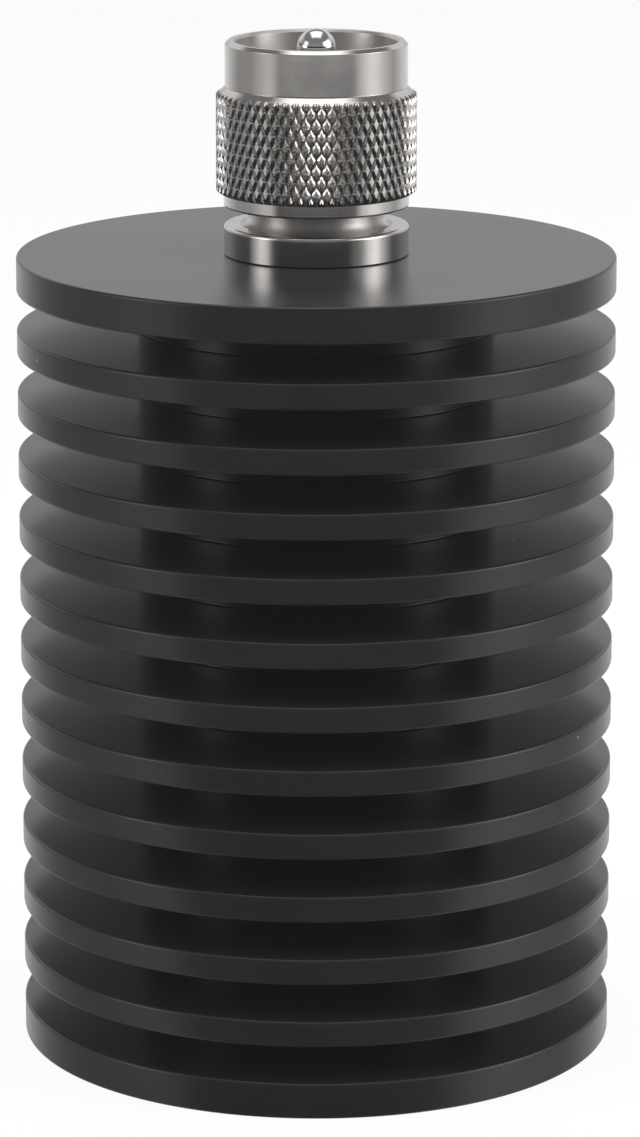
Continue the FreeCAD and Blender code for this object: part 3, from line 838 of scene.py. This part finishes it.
def toothColumns(sizes, radius):
    # the columns at a slot's two walls keep the slot's width at every radius
    count = sizes["columnsPerTooth"]
    total = count * sizes["teeth"]
    wall = round(sizes["slotWidth"] / 2 / sizes["neckRadius"] / (2 * math.pi) * total)
    clamped = min(max(radius, sizes["pilotRadius"]), sizes["neckRadius"])
    wallAngle = math.asin(sizes["slotWidth"] / 2 / clamped)
    angles = []
    for index in range(total):
        step = (index + count // 2) % count - count // 2
        middle = (index - step) * 2 * math.pi / total
        if abs(step) <= wall:
            angles.append(middle + wallAngle * step / wall)
        else:
            rest = (math.pi / sizes["teeth"] - wallAngle) * (abs(step) - wall) / (count // 2 - wall)
            angles.append(middle + math.copysign(wallAngle + rest, step))
    return angles, wall


def toothSector(sizes, shoulder, skirt):
    # one slot and the two half teeth beside it, between the neck and the pilot tube
    outer, inner = sizes["neckRadius"], sizes["pilotRadius"]
    half = sizes["columnsPerTooth"] // 2
    outerAngles, wall = toothColumns(sizes, outer)
    innerAngles, _ = toothColumns(sizes, inner)
    floor = shoulder - sizes["toothHeight"]
    rings = {
        "neckLow": (outer, outerAngles, floor),
        "neckTop": (outer, outerAngles, shoulder),
        "pilotLow": (inner, innerAngles, floor),
        "pilotMiddle": (inner, innerAngles, shoulder),
        "pilotTop": (inner, innerAngles, skirt),
    }
    vertices, faces, places = [], [], {}

    def corner(kind, step):
        if (kind, step) not in places:
            radius, angles, height = rings[kind]
            angle = angles[step]
            if abs(step) == half:  # the sector's own end, which the list may hold a turn further on
                angle = math.copysign(math.pi / sizes["teeth"], step)
            places[kind, step] = len(vertices)
            vertices.append(aroundAxis(radius, angle, height))
        return places[kind, step]

    for step in range(-half, half):
        following = step + 1
        if -wall <= step < wall:
            faces.append([corner("neckLow", step), corner("neckLow", following),
                          corner("pilotLow", following), corner("pilotLow", step)])
            side = [corner("pilotLow", step), corner("pilotLow", following)]
            if following == wall:
                side.append(corner("pilotMiddle", following))
            side += [corner("pilotTop", following), corner("pilotTop", step)]
            if step == -wall:
                side.append(corner("pilotMiddle", step))
            faces.append(side)
            continue
        for lower, upper in (("neckLow", "neckTop"), ("neckTop", "pilotMiddle"), ("pilotMiddle", "pilotTop")):
            faces.append([corner(lower, step), corner(lower, following),
                          corner(upper, following), corner(upper, step)])
    for step in (-wall, wall):
        faces.append([corner("neckLow", step), corner("neckTop", step),
                      corner("pilotMiddle", step), corner("pilotLow", step)])
    return meshObject("toothSector", vertices, faces)


def copyRound(patch, count, material):
    # copies a sector evenly round the axis
    tree, sockets, start = copyTree("toothRing", [("Teeth", "Int")])
    points = tree.nodes.new("GeometryNodePoints")
    tree.links.new(start["Teeth"], points.inputs["Count"])
    index = tree.nodes.new("GeometryNodeInputIndex").outputs[0]
    angle = math2(tree, "DIVIDE", math2(tree, "MULTIPLY", index, 2 * math.pi), start["Teeth"])
    copyAndWeld(tree, start, points.outputs[0], upVector(tree, angle))
    return copied(patch, tree, sockets, {"Teeth": count, "Finish": material})


def makePlugBody(sizes):
    edge, half = sizes["edge"], nut["ringHalfWidth"]
    ringMiddle = nutBase + nut["lipHeight"] / 2
    shoulder = topFace + sizes["shoulderHeight"]
    skirt = shoulder + sizes["skirtHeight"]
    pilotTop = topFace + sizes["pilotHeight"]
    boreStep = topFace + sizes["boreStep"]
    collarTop = topFace + sizes["collarHeight"]
    spigot, bevel = sizes["spigotRadius"], sizes["spigotBevel"]
    collar, footBevel = sizes["collarRadius"], sizes["footBevel"]
    neck, seat = sizes["neckRadius"], sizes["ringSeat"]
    outline = roundedOutline([
        (sizes["pilotRadius"], skirt, 0),
        (sizes["pilotRadius"], pilotTop, edge * 2),
        (sizes["pilotBore"], pilotTop, edge),
        (sizes["pilotBore"], boreStep, edge),
        (sizes["boreRadius"], boreStep, edge),
        (sizes["boreRadius"], spigotEnd, edge),
        (spigot - bevel, spigotEnd, edge),
        (spigot, spigotEnd + bevel, edge),
        (spigot, topFace, edge),
        (collar - footBevel, topFace, sizes["footEdge"]),
        (collar, topFace + footBevel, sizes["footTopEdge"]),
        (collar, collarTop, sizes["collarRound"]),
        (neck, collarTop, sizes["neckRound"]),
        (neck, ringMiddle - half, edge),
        (seat, ringMiddle - half, edge),
        (seat, ringMiddle + half, edge),
        (neck, ringMiddle + half, edge),
        (neck, shoulder - sizes["toothHeight"], 0),
    ])
    body = turned("plugShell", outline, evenAngles(sizes["columnsPerTooth"] * sizes["teeth"]),
                  columnsAt=lambda radius: toothColumns(sizes, radius)[0])
    ring = copyRound(toothSector(sizes, shoulder, skirt), sizes["teeth"], nickel)
    piece = finished(joined("plugBody", [body, ring]), nickel)
    # the neck between the collar and the nut shows its turning like the bore
    reach = neck + sizes["neckRound"]
    return secondFinish(piece, boreNickel,
                        lambda radius, height: radius < reach and collarTop < height < ringMiddle)


plugPiece = makePlugBody(plug)


# ---- centre pin and the front insulator that holds it

pin = {
    "radius": 1.98,
    "rootRadius": 2.3,
    "collarRadius": 3.1,
    "collarHeight": 1.5,
    "tailRadius": 1.5,
    "tailLength": 5.5,
    "slotDepth": 2.0,
    "slotWidth": 0.24,
    "insulatorJoint": 5.0,
    "noseSteps": 16,
    "edge": 0.06,
    "segments": 96,
}
insulator = {
    "clearance": 0.02,
    "recess": 0.3,
    "edge": 0.1,
    "segments": 192,
}
insulatorFace = topFace + plug["pilotHeight"] - insulator["recess"]
insulatorJoint = spigotEnd + pin["insulatorJoint"]


def makePin(sizes):
    radius, edge = sizes["radius"], sizes["edge"]
    root, collar, tail = sizes["rootRadius"], sizes["collarRadius"], sizes["tailRadius"]
    tailEnd = spigotEnd - sizes["tailLength"]
    collarRoof = insulatorJoint + sizes["collarHeight"]
    outline = roundedOutline([
        (0, tailEnd, 0),
        (tail, tailEnd, edge),
        (tail, insulatorJoint, edge),
        (collar, insulatorJoint, edge),
        (collar, collarRoof, edge),
        (root, collarRoof, edge),
        (root, insulatorFace, edge),
        (radius, insulatorFace, edge),
        (radius, pinTip - radius, 0),
    ])
    for step in range(1, sizes["noseSteps"] + 1):
        turn = math.pi / 2 * step / sizes["noseSteps"]
        across = 0.0 if step == sizes["noseSteps"] else radius * math.cos(turn)
        outline.append((across, pinTip - radius + radius * math.sin(turn)))
    body = turned("centrePin", outline, evenAngles(sizes["segments"]))
    # the lead's slot is sawn across the tail, by a block that reaches well past it
    shape = bmesh.new()
    bmesh.ops.create_cube(shape, size=1.0)
    for vertex in shape.verts:
        vertex.co.x *= 4 * tail * mm
        vertex.co.y *= sizes["slotWidth"] * mm
        vertex.co.z = vertex.co.z * 2 * sizes["slotDepth"] * mm + tailEnd * mm
    slot = bpy.data.meshes.new("leadSlot")
    shape.to_mesh(slot)
    shape.free()
    saw = newObject("leadSlot", slot)
    cut = body.modifiers.new("leadSlot", "BOOLEAN")
    cut.operation = "DIFFERENCE"
    cut.object = saw
    plainMesh(body)
    bpy.data.objects.remove(saw)
    return finished(body, pinPlate)


def makeFrontInsulator(sizes):
    slack, edge = sizes["clearance"], sizes["edge"]
    step = topFace + plug["boreStep"]
    collarRoof = insulatorJoint + pin["collarHeight"]
    collar, root = pin["collarRadius"] + slack, pin["rootRadius"] + slack
    outside, waist = plug["boreRadius"] - slack, plug["pilotBore"] - slack
    outline = roundedOutline([
        (collar, insulatorJoint, edge),
        (outside, insulatorJoint, edge),
        (outside, step, edge),
        (waist, step, edge),
        (waist, insulatorFace, edge),
        (root, insulatorFace, edge),
        (root, collarRoof, edge),
        (collar, collarRoof, edge),
    ], closed=True)
    bead = turned("frontInsulator", outline, evenAngles(sizes["segments"]), closed=True)
    return finished(bead, fluoropolymer)


pinPiece = makePin(pin)
insulatorPiece = makeFrontInsulator(insulator)


# ---- the hidden pieces keep their solids

springSteel = makePlain("springSteel", (0.40, 0.40, 0.41), 0.32, metallic=1.0)
milledAluminium = makePlain("milledAluminium", (0.66, 0.67, 0.68), 0.34, metallic=1.0)
platedCopper = makePlain("platedCopper", (0.66, 0.61, 0.54), 0.30, metallic=1.0)
ceramic = makePlain("resistorCeramic", (0.80, 0.80, 0.78), 0.55)
hiddenFinishes = {
    "nut_snap_ring": springSteel,
    "rear_insulator": fluoropolymer,
    "resistor_carrier": milledAluminium,
    "resistor_flange": platedCopper,
    "resistor_chip": ceramic,
    "resistor_lid": ceramic,
    "resistor_lead": pinPlate,
    "resistor_screw": springSteel,
    "lock_washer": springSteel,
}
for nodeName, finish in hiddenFinishes.items():
    node = nodes[nodeName]
    if node.material_slots:
        for materialSlot in node.material_slots:
            materialSlot.material = finish
    else:
        node.data.materials.append(finish)
print("hidden pieces dressed:", len(hiddenFinishes))


# ---- which piece rides on which body

for piece, body, node, slot in (
    (heatsinkPiece, "load", "heatsink", "black_anodised"),
    (plugPiece, "load", "connector_body", "nickel"),
    (pinPiece, "load", "centre_pin", "pin_plating"),
    (insulatorPiece, "load", "front_insulator", "insulator"),
    (nutPiece, "nut", "coupling_nut", "nickel"),
):
    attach(piece, body)
    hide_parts(node)


# ---- floor, studio and camera

studio = {
    "floorSize": 4.0,  # the floor and the lamps are in metres
    "floorColour": (0.93, 0.93, 0.93),
    "floorRoughness": 0.9,
    "floorGlow": 0.91,
    "ambient": 0.42,
    # what reflections see round the object, by azimuth from the front in degrees
    "belowEyeLevel": [
        (-180, 0.85), (-150, 0.78), (-116, 0.35), (-90, 0.36), (-66, 0.62), (-58, 0.60), (-46, 0.36),
        (-20, 0.44), (30, 0.43), (46, 0.38), (72, 0.99), (82, 0.95), (94, 0.68), (114, 0.42), (136, 0.75),
        (160, 0.85), (180, 0.85),
    ],
    "justAbove": [
        (-180, 0.64), (-140, 0.60), (-116, 0.16), (-92, 0.14), (-80, 2.3), (-72, 3.9), (-64, 3.0), (-57, 0.4),
        (-51, 0.02), (50, 0.02), (58, 0.25), (69, 3.2), (76, 4.7), (82, 4.2), (90, 1.8), (101, 0.5),
        (112, 0.18), (135, 0.5), (160, 0.64), (180, 0.64),
    ],
    "wellAbove": [
        (-180, 0.8), (-130, 0.8), (-104, 0.3), (-92, 0.3), (-78, 0.6), (-62, 0.6), (-48, 0.27), (40, 0.27),
        (56, 2.3), (92, 2.3), (110, 0.4), (134, 0.8), (180, 0.8),
    ],
    "upperGrey": 0.22,
    # where one of these gives way to the next, by the height of the direction's unit vector
    "horizon": (-0.02, 0.06),
    "wellAboveFrom": (0.20, 0.27),
    "upperGreyFrom": (0.50, 0.66),
    # below eye level the front is dark close to the object's foot; its width is a share of a turn
    "lowFront": 0.064,
    "lowFrontWidth": (0.128, 0.165),
    "lowFrontTop": (-0.160, -0.147),
    # the left box is bright in its upper half only: degrees, then heights
    "leftBox": 1.5,
    "leftBoxAcross": (-88, -76, -62, -50),
    "leftBoxUp": (0.28, 0.36, 0.50, 0.60),
    # the soft box overhead, by its slope from the front horizon in degrees and its half width
    "ceiling": 1.7,
    "ceilingSlope": (64, 80, 112, 130),
    "ceilingWidth": (0.26, 0.46),
    # lamps: place, width, height and watts
    "aim": (0, 0, 0.06),
    "lamps": {
        "leftBox": ((-0.55, -0.25, 0.35), 0.3, 0.5, 2.2),
        "rightBox": ((0.55, -0.15, 0.35), 0.3, 0.5, 2.6),
        "topBox": ((0, 0.05, 0.75), 0.5, 0.5, 2.5),
    },
}
photoCamera = {
    "distance": 480.99,
    "height": 165.0,
    "pitch": 12.286,
    "lens": 154.56,
    "sensor": 36.0,
    "shiftX": 0.0032,
    "shiftY": -0.1042,
    "clipStart": 10.0,
}


def azimuthRamp(tree, share, bands):
    ramp = tree.nodes.new("ShaderNodeValToRGB")
    tree.links.new(share, ramp.inputs["Fac"])
    brightest = max(strength for _, strength in bands)
    for degrees, _ in bands[1:-1]:
        ramp.color_ramp.elements.new(degrees / 360 + 0.5)
    for element, (_, strength) in zip(ramp.color_ramp.elements, bands):
        element.color = (strength / brightest,) * 3 + (1,)
    return math2(tree, "MULTIPLY", ramp.outputs["Color"], brightest)


def makeFloor(settings):
    half = settings["floorSize"] / 2
    corners = [(-half, -half, 0), (half, -half, 0), (half, half, 0), (-half, half, 0)]
    floor = meshObject("floor", corners, [(0, 1, 2, 3)])
    material = bpy.data.materials.new("paleFloor")
    material.use_nodes = True
    tree = material.node_tree
    shader = tree.nodes["Principled BSDF"]
    shader.inputs["Base Color"].default_value = (*settings["floorColour"], 1)
    shader.inputs["Roughness"].default_value = settings["floorRoughness"]
    shader.inputs["Specular IOR Level"].default_value = 0.0
    white = tree.nodes.new("ShaderNodeEmission")
    path = tree.nodes.new("ShaderNodeLightPath")
    mix = tree.nodes.new("ShaderNodeMixShader")
    share = math2(tree, "MULTIPLY", path.outputs["Is Camera Ray"], settings["floorGlow"])
    tree.links.new(share, mix.inputs["Fac"])
    tree.links.new(shader.outputs[0], mix.inputs[1])
    tree.links.new(white.outputs[0], mix.inputs[2])
    tree.links.new(mix.outputs[0], tree.nodes["Material Output"].inputs["Surface"])
    floor.data.materials.append(material)
    floor.visible_glossy = False


def makeWorld(settings):
    world = bpy.data.worlds.new("studio")
    bpy.context.scene.world = world
    world.use_nodes = True
    tree = world.node_tree
    background = tree.nodes["Background"]
    direction = tree.nodes.new("ShaderNodeTexCoord").outputs["Generated"]
    parts = tree.nodes.new("ShaderNodeSeparateXYZ")
    tree.links.new(direction, parts.inputs[0])
    # azimuth from the front: 0 at -Y, a quarter at +X, a half behind, negative towards -X
    towardsFront = math2(tree, "MULTIPLY", parts.outputs["Y"], -1.0)
    azimuth = math2(tree, "DIVIDE", math2(tree, "ARCTAN2", parts.outputs["X"], towardsFront), 2 * math.pi)
    share = math2(tree, "ADD", azimuth, 0.5)
    height = parts.outputs["Z"]
    front = softStep(tree, math2(tree, "ABSOLUTE", azimuth), *settings["lowFrontWidth"], 1.0, 0.0)
    nearFoot = softStep(tree, height, *settings["lowFrontTop"], 1.0, 0.0)
    lower = azimuthRamp(tree, share, settings["belowEyeLevel"])
    lower = mixNode(tree, math2(tree, "MULTIPLY", front, nearFoot), lower, settings["lowFront"])
    near = azimuthRamp(tree, share, settings["justAbove"])
    high = azimuthRamp(tree, share, settings["wellAbove"])
    light = mixNode(tree, softStep(tree, height, *settings["horizon"]), lower, near)
    light = mixNode(tree, softStep(tree, height, *settings["wellAboveFrom"]), light, high)
    light = mixNode(tree, softStep(tree, height, *settings["upperGreyFrom"]), light, settings["upperGrey"])
    across = between(tree, azimuth, *[degrees / 360 for degrees in settings["leftBoxAcross"]])
    up = between(tree, height, *settings["leftBoxUp"])
    light = mixNode(tree, math2(tree, "MULTIPLY", across, up), light, settings["leftBox"])
    slope = math2(tree, "ARCTAN2", height, towardsFront)
    overhead = between(tree, slope, *[math.radians(degrees) for degrees in settings["ceilingSlope"]])
    sideways = math2(tree, "ABSOLUTE", parts.outputs["X"])
    sideways = softStep(tree, sideways, *settings["ceilingWidth"], 1.0, 0.0)
    light = mixNode(tree, math2(tree, "MULTIPLY", overhead, sideways), light, settings["ceiling"])
    # camera rays see white, reflections see the studio, and diffuse light is even
    path = tree.nodes.new("ShaderNodeLightPath")
    reflected = math2(tree, "MAXIMUM", path.outputs["Is Glossy Ray"], path.outputs["Is Transmission Ray"])
    offCamera = mixNode(tree, reflected, settings["ambient"], light)
    seen = mixNode(tree, path.outputs["Is Camera Ray"], offCamera, 1.0)
    tree.links.new(seen, background.inputs["Strength"])
    background.inputs["Color"].default_value = (1, 1, 1, 1)


def addSoftboxes(settings):
    for name, (place, width, height, power) in settings["lamps"].items():
        lamp = bpy.data.lights.new(name, "AREA")
        lamp.shape = "RECTANGLE"
        lamp.size, lamp.size_y = width, height
        lamp.energy = power
        box = newObject(name, lamp)
        box.location = place
        aim = Vector(settings["aim"]) - Vector(place)
        box.rotation_euler = aim.to_track_quat("-Z", "Y").to_euler()
        box.visible_glossy = False


def addCamera(view):
    data = bpy.data.cameras.new("photoCamera")
    data.sensor_width = view["sensor"]
    data.lens = view["lens"]
    data.shift_x = view["shiftX"]
    data.shift_y = view["shiftY"]
    data.clip_start = view["clipStart"] * mm
    camera = newObject("photoCamera", data)
    camera.location = (0, -view["distance"] * mm, view["height"] * mm)
    camera.rotation_euler = (math.radians(90 - view["pitch"]), 0, 0)
    bpy.context.scene.camera = camera


makeFloor(studio)
makeWorld(studio)
addSoftboxes(studio)
addCamera(photoCamera)
bpy.context.scene.view_settings.view_transform = "Standard"
print("studio ready")
